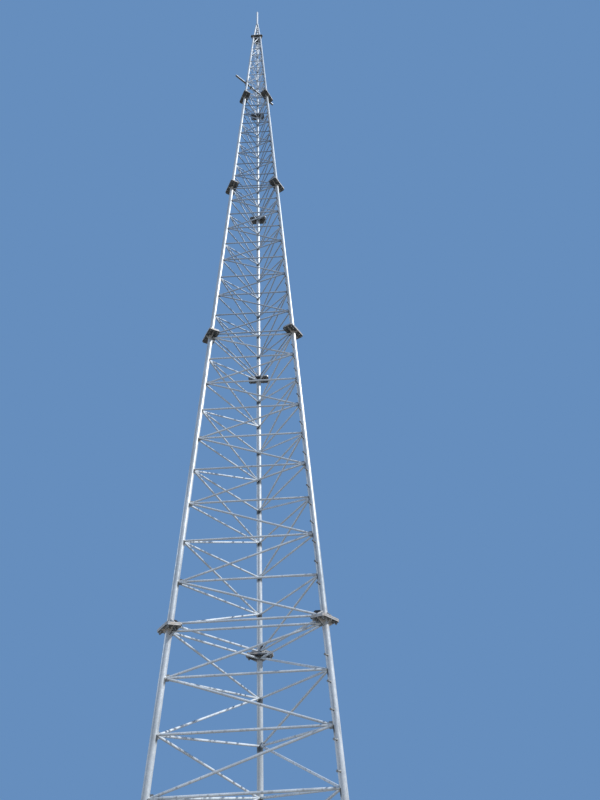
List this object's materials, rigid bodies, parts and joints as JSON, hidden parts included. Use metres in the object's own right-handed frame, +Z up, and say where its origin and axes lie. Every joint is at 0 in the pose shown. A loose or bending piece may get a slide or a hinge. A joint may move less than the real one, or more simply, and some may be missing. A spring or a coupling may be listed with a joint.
{
  "type": "lightning protection tower",
  "caption": "Slender three-legged lattice tower of bolted tube sections with zigzag bracing, a spire and a lightning rod.",
  "frame": {"origin": "centre of the underside of the rear leg's foot plate, at ground level", "axes": "+Z up, the front face looks towards -Y, +X to the right seen from the front"},
  "size_m": [3.241, 2.8178, 33.3],
  "materials": {
    "leg_steel": "hot-dip galvanised, bright and slightly mottled",
    "brace_steel": "hot-dip galvanised, weathered to a dull grey",
    "plate_steel": "hot-dip galvanised plate, dull and stained",
    "tube_steel": "hot-dip galvanised tube, satin"
  },
  "bodies": {
    "root": {"leg_rear_1": "leg_steel", "leg_rear_2": "leg_steel", "leg_rear_3": "leg_steel", "leg_rear_4": "leg_steel", "leg_rear_5": "leg_steel", "leg_left_1": "leg_steel", "leg_left_2": "leg_steel", "leg_left_3": "leg_steel", "leg_left_4": "leg_steel", "leg_left_5": "leg_steel", "leg_right_1": "leg_steel", "leg_right_2": "leg_steel", "leg_right_3": "leg_steel", "leg_right_4": "leg_steel", "leg_right_5": "leg_steel", "face_front_1": "brace_steel", "face_front_2": "brace_steel", "face_front_3": "brace_steel", "face_front_4": "brace_steel", "face_front_5": "brace_steel", "face_right_1": "brace_steel", "face_right_2": "brace_steel", "face_right_3": "brace_steel", "face_right_4": "brace_steel", "face_right_5": "brace_steel", "face_left_1": "brace_steel", "face_left_2": "brace_steel", "face_left_3": "brace_steel", "face_left_4": "brace_steel", "face_left_5": "brace_steel", "foot_rear": "plate_steel", "foot_left": "plate_steel", "foot_right": "plate_steel", "head_plate": "plate_steel", "spire_frame": "plate_steel", "lightning_rod": "tube_steel", "cross_arm": "tube_steel"}
  },
  "joints": []
}
